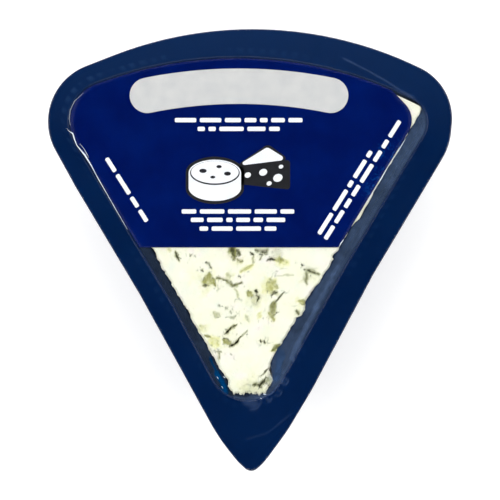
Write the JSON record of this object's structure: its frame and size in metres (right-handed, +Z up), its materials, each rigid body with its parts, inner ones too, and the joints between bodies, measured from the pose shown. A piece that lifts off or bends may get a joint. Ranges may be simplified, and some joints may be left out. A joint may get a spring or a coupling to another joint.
{
  "type": "packed cheese wedge",
  "caption": "Wedge of blue cheese sealed in a shallow formed tray, with a plain inlay card and a clear lid film, for a shop shelf, fridge or worktop.",
  "frame": {"origin": "bottom centre of the bounding box, on the surface the tray stands on", "axes": "+Z up out of the lid film, +Y towards the rind side of the wedge, -Y towards its tip, X across the wedge"},
  "size_m": [0.1154, 0.1262, 0.0282],
  "materials": {
    "tray_plastic": "gloss",
    "cheese": "matte",
    "label_card": "satin",
    "film": "polished"
  },
  "bodies": {
    "root": {"tray": "tray_plastic", "cheese_wedge": "cheese", "label": "label_card", "lid_film": "film"}
  },
  "joints": []
}
